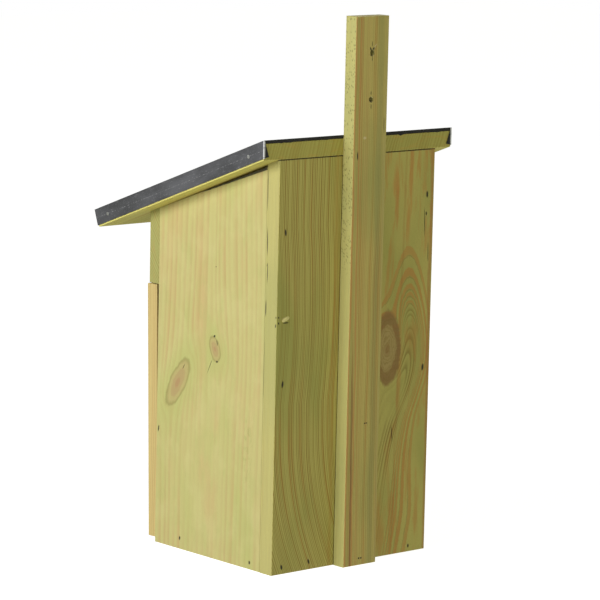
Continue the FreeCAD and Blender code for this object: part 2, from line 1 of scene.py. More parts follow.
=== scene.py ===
# %% [markdown]
# A nest box of treated pine, seen from behind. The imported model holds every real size, so this script
# only gives it looks: softened board edges, splinters and torn holes, folded sheet, and wood whose grain
# runs round its knots. Sizes below are in metres, unless a name says mm.

import math

import bmesh
import bpy
from mathutils import Euler, Matrix, Vector, noise


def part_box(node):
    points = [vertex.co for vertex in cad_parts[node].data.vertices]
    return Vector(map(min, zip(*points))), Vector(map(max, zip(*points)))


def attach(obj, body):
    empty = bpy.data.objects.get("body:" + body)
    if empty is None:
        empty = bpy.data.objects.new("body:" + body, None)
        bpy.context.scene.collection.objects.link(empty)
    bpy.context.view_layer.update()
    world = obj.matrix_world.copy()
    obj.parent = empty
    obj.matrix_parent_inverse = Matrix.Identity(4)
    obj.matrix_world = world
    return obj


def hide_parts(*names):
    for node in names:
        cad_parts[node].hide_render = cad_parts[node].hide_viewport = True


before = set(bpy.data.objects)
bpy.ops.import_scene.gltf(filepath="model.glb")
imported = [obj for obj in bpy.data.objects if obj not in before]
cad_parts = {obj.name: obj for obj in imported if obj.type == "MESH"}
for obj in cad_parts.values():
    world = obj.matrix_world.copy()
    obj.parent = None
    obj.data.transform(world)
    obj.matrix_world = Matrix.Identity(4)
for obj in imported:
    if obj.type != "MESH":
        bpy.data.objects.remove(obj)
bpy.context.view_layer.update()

# %% [markdown]
# The planes that marks are measured from come from the nodes' own boxes: the back board's rear face, the
# middle and the base. Knots, nail seats and holes are then given one by one, in millimetres from those
# planes.

# %% Reference places
MM = 0.001
back_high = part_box("back_board")[1]
batten_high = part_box("hanging_batten")[1]
REAR = back_high.y
HALF = back_high.x
print("rear plane at y =", round(REAR, 4), "half width", round(HALF, 4))


def house_point(x_mm, depth_mm, z_mm):
    """A point given from the middle, behind (+) or in front (-) of the rear plane, and up from the base."""
    return Vector((x_mm * MM, REAR + depth_mm * MM, z_mm * MM))


# %% [markdown]
# The camera stands behind the box and to one side, far away, with a long lens, so the sides hardly
# converge. It is set first, because every later choice is judged from it.

# %% Camera
CAMERA_AZIMUTH, CAMERA_ELEVATION, CAMERA_ROLL = 138.947, 8.896, 1.268
CAMERA_DISTANCE = 3.1854
CAMERA_LENS = 200.62


def place_camera():
    azimuth, elevation = math.radians(CAMERA_AZIMUTH), math.radians(CAMERA_ELEVATION)
    towards = Vector((math.sin(azimuth) * math.cos(elevation),
                      -math.cos(azimuth) * math.cos(elevation), math.sin(elevation)))
    data = bpy.data.cameras.new("camera")
    data.lens, data.sensor_width = CAMERA_LENS, 36.0
    data.clip_end = 50.0
    camera = bpy.data.objects.new("camera", data)
    bpy.context.scene.collection.objects.link(camera)
    aim = house_point(71.3, 0, 265.8)
    roll = Euler((0, 0, math.radians(CAMERA_ROLL)))
    turn = towards.to_track_quat("Z", "Y") @ roll.to_quaternion()
    camera.matrix_world = Matrix.Translation(aim + towards * CAMERA_DISTANCE) @ turn.to_matrix().to_4x4()
    bpy.context.scene.camera = camera
    return camera


print("camera lens in mm:", place_camera().data.lens)

# %% [markdown]
# The studio is a white sweep with a large soft light on the box's right and a weaker one behind it. The
# world fills the shade, and its brighter lower half stands for the floor's light under the roof.

# %% Studio
def add_area_light(name, place, aim, size, power, colour=(1, 1, 1)):
    data = bpy.data.lights.new(name, "AREA")
    data.shape, data.size, data.energy, data.color = "DISK", size, power, colour
    light = bpy.data.objects.new(name, data)
    bpy.context.scene.collection.objects.link(light)
    turn = (place - aim).to_track_quat("Z", "Y")
    light.matrix_world = Matrix.Translation(place) @ turn.to_matrix().to_4x4()
    return light


def set_world(above, below):
    """White to the eye. As light it is dim above and brighter below, as over a white sweep."""
    world = bpy.data.worlds.new("studio")
    world.use_nodes = True
    nodes, links = world.node_tree.nodes, world.node_tree.links
    nodes.clear()
    place = nodes.new("ShaderNodeTexCoord")
    split = nodes.new("ShaderNodeSeparateXYZ")
    height = nodes.new("ShaderNodeMapRange")
    for name, value in (("From Min", -0.25), ("From Max", 0.25), ("To Min", below), ("To Max", above)):
        height.inputs[name].default_value = value
    lighting = nodes.new("ShaderNodeBackground")
    lighting.inputs["Color"].default_value = (1.0, 0.99, 0.84, 1.0)
    seen = nodes.new("ShaderNodeBackground")
    seen.inputs["Color"].default_value = (1, 1, 1, 1)
    path = nodes.new("ShaderNodeLightPath")
    mix = nodes.new("ShaderNodeMixShader")
    out = nodes.new("ShaderNodeOutputWorld")
    links.new(place.outputs["Generated"], split.inputs[0])
    links.new(split.outputs["Z"], height.inputs["Value"])
    links.new(height.outputs["Result"], lighting.inputs["Strength"])
    links.new(path.outputs["Is Camera Ray"], mix.inputs["Fac"])
    links.new(lighting.outputs[0], mix.inputs[1])
    links.new(seen.outputs[0], mix.inputs[2])
    links.new(mix.outputs[0], out.inputs["Surface"])
    bpy.context.scene.world = world


set_world(0.12, 0.68)
box_middle = Vector((0, 0, 0.27))
add_area_light("key", Vector((2.75, 0.05, 1.15)), box_middle, 1.6, 80, (1, 1, 1.08))
add_area_light("rear_fill", Vector((0.8, 3.2, 1.2)), box_middle, 2.0, 16.5, (1, 0.98, 0.78))
bpy.context.scene.view_settings.view_transform = "Standard"

# %% [markdown]
# Shader maths reads better as sums than as nodes, so a socket is wrapped in a small class whose operators
# add the Math nodes. One method makes every other node.

# %% Shader writing
class Value:
    """A socket of a material's tree that can be used in sums."""

    def __init__(self, shader, socket):
        self.shader, self.socket = shader, socket

    def maths(self, operation, *terms):
        inputs = dict(enumerate(terms))
        return self.shader.node("ShaderNodeMath", inputs, operation=operation)

    def __add__(self, other): return self.maths("ADD", self, other)
    def __radd__(self, other): return self.maths("ADD", other, self)
    def __sub__(self, other): return self.maths("SUBTRACT", self, other)
    def __rsub__(self, other): return self.maths("SUBTRACT", other, self)
    def __mul__(self, other): return self.maths("MULTIPLY", self, other)
    def __rmul__(self, other): return self.maths("MULTIPLY", other, self)
    def __truediv__(self, other): return self.maths("DIVIDE", self, other)

    def fract(self): return self.maths("FRACT", self)
    def abs(self): return self.maths("ABSOLUTE", self)
    def root(self): return self.maths("SQRT", self)
    def at_least(self, other): return self.maths("MAXIMUM", self, other)
    def at_most(self, other): return self.maths("MINIMUM", self, other)

    def ramp(self, low, high, soft=True):
        """0 at low, 1 at high, and held outside them."""
        kind = "SMOOTHSTEP" if soft else "LINEAR"
        inputs = {"Value": self, "From Min": low, "From Max": high, "To Min": 0.0, "To Max": 1.0}
        return self.shader.node("ShaderNodeMapRange", inputs, interpolation_type=kind)


class Shader:
    """One material and the ways to add nodes to it."""

    def __init__(self, name):
        self.material = bpy.data.materials.new(name)
        self.material.use_nodes = True
        self.tree = self.material.node_tree
        self.tree.nodes.clear()

    def node(self, kind, inputs=None, out=0, **settings):
        """Add a node, set it up, fill its sockets and give one of its outputs."""
        node = self.tree.nodes.new(kind)
        for name, setting in settings.items():
            setattr(node, name, setting)
        for name, value in (inputs or {}).items():
            if isinstance(value, Value):
                self.tree.links.new(value.socket, node.inputs[name])
            else:
                node.inputs[name].default_value = value
        return Value(self, node.outputs[out]) if node.outputs else node

    def place_mm(self):
        """X, Y and Z of the surface in millimetres from the frame's origin."""
        place = self.node("ShaderNodeTexCoord", out="Object")
        split = self.node("ShaderNodeSeparateXYZ", {0: place}).socket.node
        return [Value(self, split.outputs[axis]) * 1000.0 for axis in range(3)]

    def normals(self):
        """X, Y and Z of the surface's own normal."""
        facing = self.node("ShaderNodeTexCoord", out="Normal")
        split = self.node("ShaderNodeSeparateXYZ", {0: facing}).socket.node
        return [Value(self, split.outputs[axis]) for axis in range(3)]

    def vector(self, x, y, z):
        return self.node("ShaderNodeCombineXYZ", {0: x, 1: y, 2: z})

    def noise(self, x, y, z, detail=2.0, rough=0.5):
        """Cloudy noise about 0.5, one unit of x, y or z to a cloud."""
        inputs = {"Vector": self.vector(x, y, z), "Scale": 1.0, "Detail": detail, "Roughness": rough}
        return self.node("ShaderNodeTexNoise", inputs, noise_dimensions="3D")

    def cells(self, x, y, z):
        """Distance to the nearest of many scattered points, one to a unit."""
        inputs = {"Vector": self.vector(x, y, z), "Scale": 1.0}
        return self.node("ShaderNodeTexVoronoi", inputs, out="Distance")

    def mix(self, amount, first, second, blend="MIX"):
        """Blend two colours, each a triple or a socket."""
        inputs = {"Factor": amount, 6: self.colour(first), 7: self.colour(second)}
        return self.node("ShaderNodeMix", inputs, out=2, data_type="RGBA", blend_type=blend)

    def colour(self, value):
        return value if isinstance(value, Value) else (*value, 1.0)

    def bump(self, height_mm, strength=1.0):
        return self.node("ShaderNodeBump", {"Strength": strength, "Distance": MM, "Height": height_mm})

    def finish(self, colour, roughness, metallic=0.0, normal=None, **constants):
        """Close the material with its surface shader."""
        inputs = {"Base Color": self.colour(colour), "Roughness": roughness, "Metallic": metallic}
        inputs.update({name.replace("_", " "): value for name, value in constants.items()})
        if normal is not None:
            inputs["Normal"] = normal
        surface = self.node("ShaderNodeBsdfPrincipled", inputs)
        self.node("ShaderNodeOutputMaterial", {"Surface": surface})
        return self.material


def srgb(red, green, blue):
    """A colour given as it looks, 0 to 255, as the linear triple that shaders use."""
    def linear(level):
        level /= 255.0
        return level / 12.92 if level <= 0.04045 else ((level + 0.055) / 1.055) ** 2.4
    return tuple(linear(level) for level in (red, green, blue))


print("mid grey is", [round(level, 3) for level in srgb(128, 128, 128)])

# %% [markdown]
# Wood is drawn as one field that counts growth rings across the board. A face shows the field's contours,
# so bending the field bends every line at once. Round a knot the across coordinate is squeezed like water
# flowing round a stone, and inside the knot its own small rings take over.

# %% Grain helpers
def ellipse(a, c, mark_a, mark_c, half_a, half_c, lean=0.0):
    """Distance from a mark's centre, 1 at its rim. Lean moves its top along a."""
    across = (a - mark_a - (c - mark_c) * lean) / half_a
    along = (c - mark_c) / half_c
    return (across * across + along * along).root()


def flow_round(a, c, knots):
    """The across coordinate, bent round each knot."""
    for knot_a, knot_c, half_a, half_c, lean in knots:
        reach = ellipse(a, c, knot_a, knot_c, half_a, half_c, lean)
        offset = a - knot_a - (c - knot_c) * lean
        a = a - offset / (reach * reach).at_least(1.0)
    return a


def knot_reach(shader, a, c, knots):
    """Distance from the nearest knot's heart, 1 at its rim, with a wavering outline."""
    nearest = None
    for knot_a, knot_c, half_a, half_c, lean in knots:
        slow = shader.noise(a * 0.09, c * 0.05, knot_c, 2.0)
        quick = shader.noise(a * 0.4, c * 0.2, knot_c, 2.0)
        reach = ellipse(a, c, knot_a, knot_c, half_a, half_c, lean) + (slow + quick * 0.4 - 0.7) * 0.3
        nearest = reach if nearest is None else nearest.at_most(reach)
    return nearest


def marks_mask(a, c, marks):
    """One mask for a list of small marks: (a, c, half_a, half_c, lean)."""
    total = None
    for mark in marks:
        mask = 1.0 - ellipse(a, c, *mark).ramp(0.45, 1.0)
        total = mask if total is None else total.at_least(mask)
    return total


print("grain helpers ready")

# %% [markdown]
# A ring field becomes treated pine in steps: pale early wood, a darker band before each ring ends, bands
# that lean to green or orange, knots, pores and cut ends. Each step is one function, so a step can be read,
# changed or left out by itself. What one board looks like is kept in one small object.

# %% Board looks
class Board:
    """What one board's wood looks like. Each colour is linear, each length is in millimetres."""

    defaults = dict(spacing=3.0, contrast=0.7, saw=0.3, seed=0.0, edge=None, edge_marks=(), edge_pores=None,
                    end=0.75, end_painted_light=None, bores=(), knots=(), knot_bands=(), halo=0.0, quiet=(),
                    dark_marks=(), pale_marks=(), streaks=(), wander=9.0)

    def __init__(self, early, late, orange, green, **looks):
        self.early, self.late, self.orange, self.green = early, late, orange, green
        for name, value in {**self.defaults, **looks}.items():
            setattr(self, name, value)


# Near-black for cracks and nail slits, and also the colour of every painted shade: in the holes, under the
# roof, beside the batten and under the chip.
DARK_WOOD_AND_SHADE = (0.010, 0.008, 0.004)
print("looks that a board may have:", ", ".join(Board.defaults))

# %% Grain of one board
class Grain:
    """What every step of one board's material shares: its place across, through and along, and masks."""

    def __init__(self, shader, board, axes):
        self.shader, self.board = shader, board
        self.place = a, b, c = axes(*shader.place_mm())
        across, through, along = axes(*shader.normals())
        self.edge = across.abs().ramp(0.6, 0.9)
        self.facing = through.abs().ramp(0.6, 0.9)
        self.cut_end = along.abs().ramp(0.55, 0.8)
        self.fibre = shader.noise(a * 1.6 + b * 1.6, c * 0.035, board.seed + 11.0, 3.0, 0.6)
        self.fine = shader.noise(a * 4.0 + b * 4.0, c * 0.12, board.seed + 17.0, 2.0, 0.6)
        self.pores = shader.noise(a * 2.2 + b * 2.2, c * 0.35, board.seed + 23.0, 2.0, 0.7).ramp(0.60, 0.72)
        self.calm = 1.0 - self.edge * 0.55
        if board.quiet:
            self.calm = self.calm * (1.0 - marks_mask(a, c, board.quiet) * 0.75)


print("grain gives place, edge, facing, cut_end, fibre, fine, pores and calm")

# %% Rings, bands and streaks
RING_TILT = 0.35


def count_rings(grain, field):
    """Rings counted across the board, and a mask of the dark late wood that ends each one."""
    shader, board = grain.shader, grain.board
    a, b, c = grain.place
    bent = flow_round(a, c, board.knots)
    wander = (shader.noise(a * 0.02, c * 0.004 + board.seed, b * 0.02, 2.0) - 0.5) * board.wander
    rings = field(bent, c) if field else bent
    rings = shader.node("ShaderNodeMix", {0: grain.edge, 2: rings, 3: b * 1.3}, data_type="FLOAT")
    phase = (rings + wander + b * RING_TILT) / board.spacing
    phase = phase + (shader.noise(phase * 0.22, board.seed, 0.0, 1.0) - 0.5) * 3.0
    saw = phase.fract()
    return phase, saw.ramp(0.2, 0.84) * (1.0 - saw.ramp(0.88, 1.0))


def face_colour(grain, phase, late):
    """Early and late wood, each band in its own tone, under slow clouds."""
    shader, board, calm = grain.shader, grain.board, grain.calm
    a, b, c = grain.place
    band_tone = shader.noise(phase * 0.45, c * 0.0025, board.seed + 3.0, 2.0)
    cloud = shader.noise(a * 0.018, c * 0.006, board.seed + 7.0 + b * 0.01, 2.0)
    colour = shader.mix(late * board.contrast * band_tone.ramp(0.25, 0.62) * calm, board.early, board.late)
    colour = shader.mix(band_tone.ramp(0.52, 0.74) * 0.6 * calm, colour, board.orange)
    colour = shader.mix(cloud.ramp(0.46, 0.72) * 0.55, colour, board.green)
    if board.edge:
        colour = shader.mix(grain.edge * (0.75 - grain.fibre * 0.5), colour, board.edge)
    return colour


def add_streaks(grain, colour):
    """Long streaks on the faces: (a, half width, drift of a along c, strength, tint)."""
    shader, board = grain.shader, grain.board
    a, _, c = grain.place
    for streak_a, half, drift, strength, tint in board.streaks:
        weave = (shader.noise(c * 0.012, streak_a, board.seed, 1.0) - 0.5) * 5.0
        line = a - streak_a - (c - 270.0) * drift + weave
        ragged = half * (0.5 + shader.noise(a * 0.9, c * 0.02, streak_a, 2.0))
        stripe = (1.0 - (line.abs() / ragged).ramp(0.2, 1.0)) * (1.0 - grain.edge)
        colour = shader.mix(stripe * strength, colour, tint)
    return colour


print("rings lean", RING_TILT, "mm for each mm of depth")

# %% Knots, cut ends and marks
def add_knots(grain, colour):
    """Bands from each knot's rim inwards, crossed by its own fine rings and by grime."""
    shader, board, facing = grain.shader, grain.board, grain.facing
    a, _, c = grain.place
    reach = knot_reach(shader, a, c, board.knots)
    lines = (reach * 9.0 + shader.noise(a * 0.15, c * 0.1, board.seed, 2.0) * 1.8).fract()
    colour = shader.mix((1.0 - reach.ramp(1.0, 2.7)) * board.halo * facing, colour, board.green)
    for radius, strength, tint in board.knot_bands:
        band = 1.0 - reach.ramp(radius - 0.12, radius + 0.04)
        colour = shader.mix(band * strength * facing, colour, tint)
    inside = (1.0 - reach.ramp(0.8, 1.0)) * facing
    colour = shader.mix(inside * lines.ramp(0.3, 0.95) * 0.38, colour, board.late)
    grime = shader.noise(a * 0.7, c * 0.35, board.seed + 5.0, 3.0, 0.7).ramp(0.57, 0.68)
    return shader.mix(inside * grime * 0.4, colour, board.late)


def add_cut_ends(grain, colour, late):
    """Cut ends soak up more treatment: greener and darker, with specks and orange heart wood."""
    shader, board = grain.shader, grain.board
    a, b, c = grain.place
    specks = shader.cells(a * 0.9, b * 0.9, c * 0.9).ramp(0.0, 0.35)
    end_colour = shader.mix(0.35 + late * 0.4, board.green, board.late)
    end_colour = shader.mix((1.0 - specks) * 0.45, end_colour, board.late)
    heart = shader.noise(a * 0.05, b * 0.25, c * 0.25 + board.seed, 3.0, 0.6).ramp(0.52, 0.66)
    end_colour = shader.mix(heart * 0.4, end_colour, board.orange)
    # A board's own end colour, where given, replaces all this; the batten's is painted light on its upward
    # cut end.
    return shader.mix(grain.cut_end * board.end, colour, board.end_painted_light or end_colour)


def add_marks(grain, colour):
    """Bores (painted shade), cracks, dark marks and pale torn spots, which lie over everything. Gives the
    dark marks' mask too.
    """
    shader, board = grain.shader, grain.board
    a, b, c = grain.place
    pits_and_shade = 0.0
    # The bores are darkened nearly black: painted shade inside the holes and at their rims.
    if board.bores:
        colour = shader.mix(marks_mask(a, c, board.bores) * 0.95, colour, DARK_WOOD_AND_SHADE)
    if board.edge_marks:
        cracks = marks_mask(b, c, board.edge_marks) * grain.edge
        colour = shader.mix(cracks * 0.8, colour, DARK_WOOD_AND_SHADE)
    # Dark marks are nail slits and cracks, pressed in; on the back board one of them is painted shadow under
    # the chip.
    if board.dark_marks:
        pits_and_shade = marks_mask(a, c, board.dark_marks) * grain.facing
        colour = shader.mix(pits_and_shade * 0.92, colour, DARK_WOOD_AND_SHADE)
    if board.pale_marks:
        pale = marks_mask(a, c, board.pale_marks) * grain.facing
        colour = shader.mix(pale * 0.75, colour, srgb(214, 200, 150))
    return colour, pits_and_shade


print("dark wood is", DARK_WOOD_AND_SHADE)

# %% Treated pine
def tone(shader, level):
    """A grey of a given level, to multiply a colour with."""
    return shader.node("ShaderNodeCombineColor", {0: level, 1: level, 2: level})


def make_pine(name, board, axes, field=None, blotches=None):
    """A pine material. axes turns x, y and z into across, through and along; field bends the rings."""
    shader = Shader(name)
    grain = Grain(shader, board, axes)
    a, b, c = grain.place
    phase, late = count_rings(grain, field)
    colour = face_colour(grain, phase, late)
    if blotches:
        colour = blotches(shader, colour, a, b, c)
    colour = add_streaks(grain, colour)
    if board.knots:
        colour = add_knots(grain, colour)
    level = 0.84 + grain.fibre * 0.2 + grain.fine * 0.14
    colour = shader.mix(1.0, colour, tone(shader, level), "MULTIPLY")
    colour = shader.mix(grain.pores * 0.32, colour, board.late)
    if board.edge_pores:
        rows = 1.0 - shader.cells(b * 0.42 + c * 0.11, c * 0.30, board.seed).ramp(0.16, 0.40)
        torn = rows * grain.edge * c.ramp(board.edge_pores - 12.0, board.edge_pores + 12.0)
        colour = shader.mix(torn * 0.7, colour, srgb(112, 108, 52))
    colour = add_cut_ends(grain, colour, late)
    colour, pits_and_shade = add_marks(grain, colour)
    ridges = (shader.noise(c * 0.55 + a * 0.16, a * 0.05, board.seed + 31.0, 2.0) - 0.5) * board.saw
    relief = grain.fibre * 0.10 + grain.fine * 0.05 - late * 0.05 + ridges * 0.22
    relief = relief - grain.pores * 0.08 - pits_and_shade * 0.8
    return shader.finish(colour, 0.62 + grain.fibre * 0.2, normal=shader.bump(relief))


print("pine ready")

# %% [markdown]
# The boards are all cut from the same treated timber, but each took up the treatment in its own way: the
# rear is greener and the side board paler. Axes name what runs across, through and along each board.

# %% Board axes
REAR_MM = REAR * 1000
SLOPE = math.radians(20)
TOP_MM = 402.0
BATTEN_HALF = batten_high.x * 1000


def upright(x, y, z):
    """A board that stands across the box: x across, y through it, z along."""
    return x, y, z


def flank(x, y, z):
    """A side board: y across, x through it, z along."""
    return y, x, z


def lying(x, y, z):
    """A board whose grain runs from side to side."""
    return z + y, y, x


def sloped(x, y, z):
    """The roof board: x across, and its grain runs down the slope."""
    return x, z * math.cos(SLOPE) - y * math.sin(SLOPE), y * math.cos(SLOPE) + z * math.sin(SLOPE)


print("rear plane in mm:", round(REAR_MM, 2), "slope in degrees:", round(math.degrees(SLOPE)))


# %% [markdown]
# The back board was cut near a branch. Right of the batten its rings close over the knot in nested arches,
# and below it they sweep back under the batten. Left of the batten they stand straight, with a slow bow. One
# function gives the height of the arch through any point. Fine rings count that height, and the wide orange
# bands near the top are painted by it.

# %% Rings of the back board
KNOT_X, KNOT_Z = -43.5, 208.0
ARCH_X = -67.0
BACK_KNOT = (KNOT_X, KNOT_Z, 18.0, 38.0, 0.02)
ARCH_BANDS = [(311.0, 302.0, 0.60), (290.0, 281.5, 0.75), (275.0, 269.5, 0.70), (266.8, 263.2, 0.65),
              (259.6, 256.8, 0.6)]
ARCH_TOPS = [(254.0, 232.0, 4.0), (232.0, -80.0, 36.0)]


def arch_level(a, c):
    """The height of the top of the arch that passes through a point."""
    fall = KNOT_Z - 12.0 - c
    below = ((fall * fall + 1500.0).root() + fall) * 0.5
    out = ARCH_X - a + below * 0.44 - below * below * 0.0007
    nose = 20.0 - below.ramp(10.0, 70.0) * 14.0
    legs = ((out * out + nose * nose).root() - nose) * 4.2
    return c + below + legs * (1.0 - below.ramp(0.0, 170.0) * 0.55)


def back_rings(a, c):
    """Fine arches right of the batten, counted by the heights of their tops, and a slow bow left of it."""
    level = arch_level(a, c)
    rings = 0.0
    for high, low, count in ARCH_TOPS:
        rings = rings - level.ramp(low, high, soft=False) * count
    arches = (rings + 0.1) * 3.2
    bow = ((c - 250.0) / 85.0) * ((c - 250.0) / 85.0)
    sweep = (140.0 - c).at_least(0.0)
    straight = (a - bow.at_most(1.0) * 5.0 + sweep * sweep * 0.0016) * 1.55
    left = a.ramp(-8.0, 4.0)
    return arches * (1.0 - left) + straight * left


def back_blotches(shader, colour, a, b, c):
    """Wide orange arches, orange blotches above and below them, and painted shade by the batten and under the
    roof.
    """
    on_rear = b.ramp(REAR_MM - 1.0, REAR_MM - 0.4)
    ragged = (shader.noise(a * 0.25, c * 0.2, 91.0, 3.0, 0.65) - 0.5) * 5.0
    level = arch_level(flow_round(a, c, [BACK_KNOT]), c) + ragged
    painted = on_rear * (1.0 - a.ramp(-22.0, -18.0))
    for high, low, strength in ARCH_BANDS:
        band = level.ramp(low - 0.8, low + 1.6) * (1.0 - level.ramp(high - 0.6, high + 0.6))
        colour = shader.mix(band * painted * strength, colour, srgb(188, 138, 66))
        rim = level.ramp(low - 2.0, low - 0.6) * (1.0 - level.ramp(low - 0.4, low + 0.8))
        colour = shader.mix(rim * painted * 0.4, colour, srgb(122, 104, 44))
    right = 1.0 - a.ramp(-20.0, -5.0)
    high_patch = shader.noise(a * 0.11, c * 0.014, 41.0, 3.0, 0.6).ramp(0.50, 0.66)
    colour = shader.mix(c.ramp(285.0, 335.0) * right * high_patch * 0.62, colour, srgb(192, 134, 62))
    low_patch = shader.noise(a * 0.09, c * 0.012, 47.0, 3.0, 0.6).ramp(0.50, 0.68)
    colour = shader.mix(right * low_patch * 0.5, colour, srgb(188, 130, 60))
    # Painted shade: the rear face darkens along the batten's side.
    shadow = (a.abs() + shader.noise(c * 0.4, 5.0, 0.0, 2.0) * 0.8).ramp(BATTEN_HALF + 0.2, BATTEN_HALF + 1.6)
    colour = shader.mix((1.0 - shadow) * on_rear * 0.6, colour, DARK_WOOD_AND_SHADE)
    # Painted shade: a thin near-black band along the top, under the roof.
    gap = (c + shader.noise(a * 0.5, 3.0, 0.0, 2.0) * 0.8).ramp(TOP_MM - 1.1, TOP_MM - 0.7)
    return shader.mix(gap * 0.92, colour, DARK_WOOD_AND_SHADE)


print("arches:", len(ARCH_BANDS), "wide bands round the knot at", BACK_KNOT[:2])

# %% [markdown]
# Nails, checks and a few shakes mark the board. They are drawn in the material, because each is only a
# millimetre or two wide: a mark is a centre, two half sizes and a lean.

# %% Marks and wood of the back board
NAIL_SLITS = [(91, 332, 1.5, 4.2, 0.10), (91, 186, 1.6, 4.2, -0.08), (87.5, 7, 1.7, 3.2, 0.2),
              (-91, 357, 1.6, 4.2, 0.05), (-91, 185, 1.7, 4.4, -0.1),
              (53, 8, 1.5, 3.4, 0.3), (-78, 6, 1.3, 2.4, 0)]
BACK_CRACKS_AND_CHIP_SHADE = [(-90.4, 338, 0.9, 2.5, 0.1), (-88.5, 330, 0.4, 17, 0.03), (-94, 300, 0.4, 12, 0.02),
               (97.5, 245.5, 0.9, 1.6, 0.2), (97.8, 251, 0.8, 1.2, 0), (-52, 122, 0.5, 9, 0.1),
               # The last mark is not a crack: it is painted shadow under the torn chip.
               (88.6, 245.2, 4.4, 0.7, 0.0)]
SHAKES = [(REAR_MM - 16.6, 372, 0.7, 26, 0.004), (REAR_MM - 15.8, 322, 0.9, 17, -0.01),
          (REAR_MM - 15.0, 292, 0.8, 13, 0.02), (REAR_MM - 16.2, 258, 1.0, 10, 0.01),
          (REAR_MM - 15.6, 300, 0.6, 2.2, 0.2), (REAR_MM - 1.5, 243, 1.2, 2.4, 0.1),
          (REAR_MM - 1.2, 251, 0.9, 1.6, 0.0), (REAR_MM - 17.2, 200, 0.3, 40, 0.0)]
back_pine = make_pine("pine_back", Board(
    early=srgb(190, 182, 98), late=srgb(134, 110, 44), orange=srgb(176, 126, 52), green=srgb(150, 154, 74),
    spacing=3.2, contrast=0.95, saw=0.25, seed=2.0, edge=srgb(166, 160, 106), edge_marks=SHAKES, wander=1.8,
    knots=[BACK_KNOT],
    quiet=[(-62.0, 10.0, 70.0, 118.0, 0.0), (-46.0, 160.0, 30.0, 34.0, 0.0)],
    knot_bands=[(1.0, 0.85, srgb(146, 112, 64)), (0.66, 0.8, srgb(180, 160, 98)),
                (0.2, 0.6, srgb(150, 112, 62))],
    dark_marks=NAIL_SLITS + BACK_CRACKS_AND_CHIP_SHADE, pale_marks=[(89, 248.9, 5.6, 2.6, -0.5)],
    streaks=[(27, 3.0, 0.0, 0.3, srgb(168, 124, 54)),
             (-60, 2.0, -0.02, 0.25, srgb(160, 112, 48)), (-97.5, 3.0, 0.004, 0.55, srgb(168, 116, 58))]),
    upright, back_rings, blotches=back_blotches)

# %% [markdown]
# The side board is the palest piece. Two knots lie in it: a large leaning one near the front edge and a
# narrow one behind it. Its rings are pink lines on straw-coloured wood.

# %% Side boards
SIDE_KNOTS = [(REAR_MM - 147.5, 167.0, 13.5, 26.0, 0.52), (REAR_MM - 91.0, 208.0, 8.6, 13.0, -0.25)]
SIDE_MARKS = [(REAR_MM - 140.7, 11, 1.5, 2.4, 0.1), (REAR_MM - 33.1, 6.9, 1.6, 2.2, 0),
              (REAR_MM - 176.7, 116, 1.0, 4.0, 0.15), (REAR_MM - 138.5, 184, 0.5, 3.2, 0.6),
              (REAR_MM - 92.0, 220.5, 1.6, 1.4, 0.5), (REAR_MM - 88.0, 214.5, 0.6, 3.4, -0.2),
              (REAR_MM - 87.6, 196.0, 1.6, 1.3, 0), (REAR_MM - 98.5, 190.0, 0.35, 9.0, 0.5),
              (REAR_MM - 91.6, 288.8, 0.7, 0.9, 0)]


def side_blotches(shader, colour, a, b, c):
    """Clouds of pink, pale and green, a rough patch low down, and painted shade in the thin gap under the
    roof.
    """
    pink = shader.noise(a * 0.05, c * 0.008, 61.0, 3.0, 0.6).ramp(0.50, 0.70)
    colour = shader.mix(pink * 0.42, colour, srgb(186, 156, 104))
    rough = shader.noise(a * 0.35, c * 0.10, 67.0, 3.0, 0.7).ramp(0.50, 0.62)
    patch = 1.0 - ellipse(a, c, REAR_MM - 40.0, 118.0, 9.0, 42.0).ramp(0.3, 1.2)
    colour = shader.mix(rough * patch * 0.55, colour, srgb(146, 150, 78))
    pale = shader.noise(a * 0.035, c * 0.022, 71.0, 3.0, 0.6).ramp(0.46, 0.64)
    colour = shader.mix(pale * 0.22, colour, srgb(196, 190, 128))
    green = shader.noise(a * 0.06, c * 0.028, 73.0, 4.0, 0.65).ramp(0.50, 0.66)
    colour = shader.mix(green * 0.22, colour, srgb(160, 164, 92))
    # Painted shade: a dark wedge under the roof line, widest at the rear and fading out towards the front.
    down = TOP_MM + (a - REAR_MM) * math.tan(SLOPE) - c
    taper = (a - REAR_MM).ramp(-125.0, -20.0, soft=False)
    shade = shader.noise(a * 0.12, 2.0, 0.0, 3.0) * 1.6 + taper * 3.6
    wedge = 1.0 - (down - shade).ramp(0.3, 0.9)
    return shader.mix(wedge * taper.ramp(0.02, 0.2) * 0.93, colour, DARK_WOOD_AND_SHADE)


side_pine = make_pine("pine_side", Board(
    early=srgb(181, 174, 109), late=srgb(171, 141, 88), orange=srgb(186, 156, 100), green=srgb(168, 172, 98),
    spacing=7.4, contrast=0.58, saw=0.12, seed=5.0, knots=SIDE_KNOTS, halo=0.55,
    knot_bands=[(1.02, 0.68, srgb(134, 128, 68)), (0.86, 0.6, srgb(182, 170, 108)),
                (0.6, 0.6, srgb(162, 136, 90)), (0.24, 0.6, srgb(160, 120, 82))],
    quiet=[(REAR_MM - 112.0, 78.0, 42.0, 110.0, 0.0)],
    dark_marks=SIDE_MARKS), flank, blotches=side_blotches)

# %% [markdown]
# The batten is rough-sawn: its rear face carries two red-brown streaks and a grey-green band, and rows of
# torn pores. It is drawn with the same rings, only tighter and rougher.

# %% Batten
def batten_blotches(shader, colour, a, b, c):
    """The red-brown streak, which is darkest near the bottom."""
    line = a - 14.4 - (c - 100.0) * 0.012 + (shader.noise(c * 0.02, 81.0, 0.0, 2.0) - 0.5) * 3.0
    ragged = 1.2 + shader.noise(a * 0.8, c * 0.03, 83.0, 2.0) * 1.6
    low = (1.0 - (line.abs() / ragged).ramp(0.2, 1.0)) * (1.0 - c.ramp(150.0, 250.0))
    return shader.mix(low * 0.75, colour, srgb(136, 84, 50))


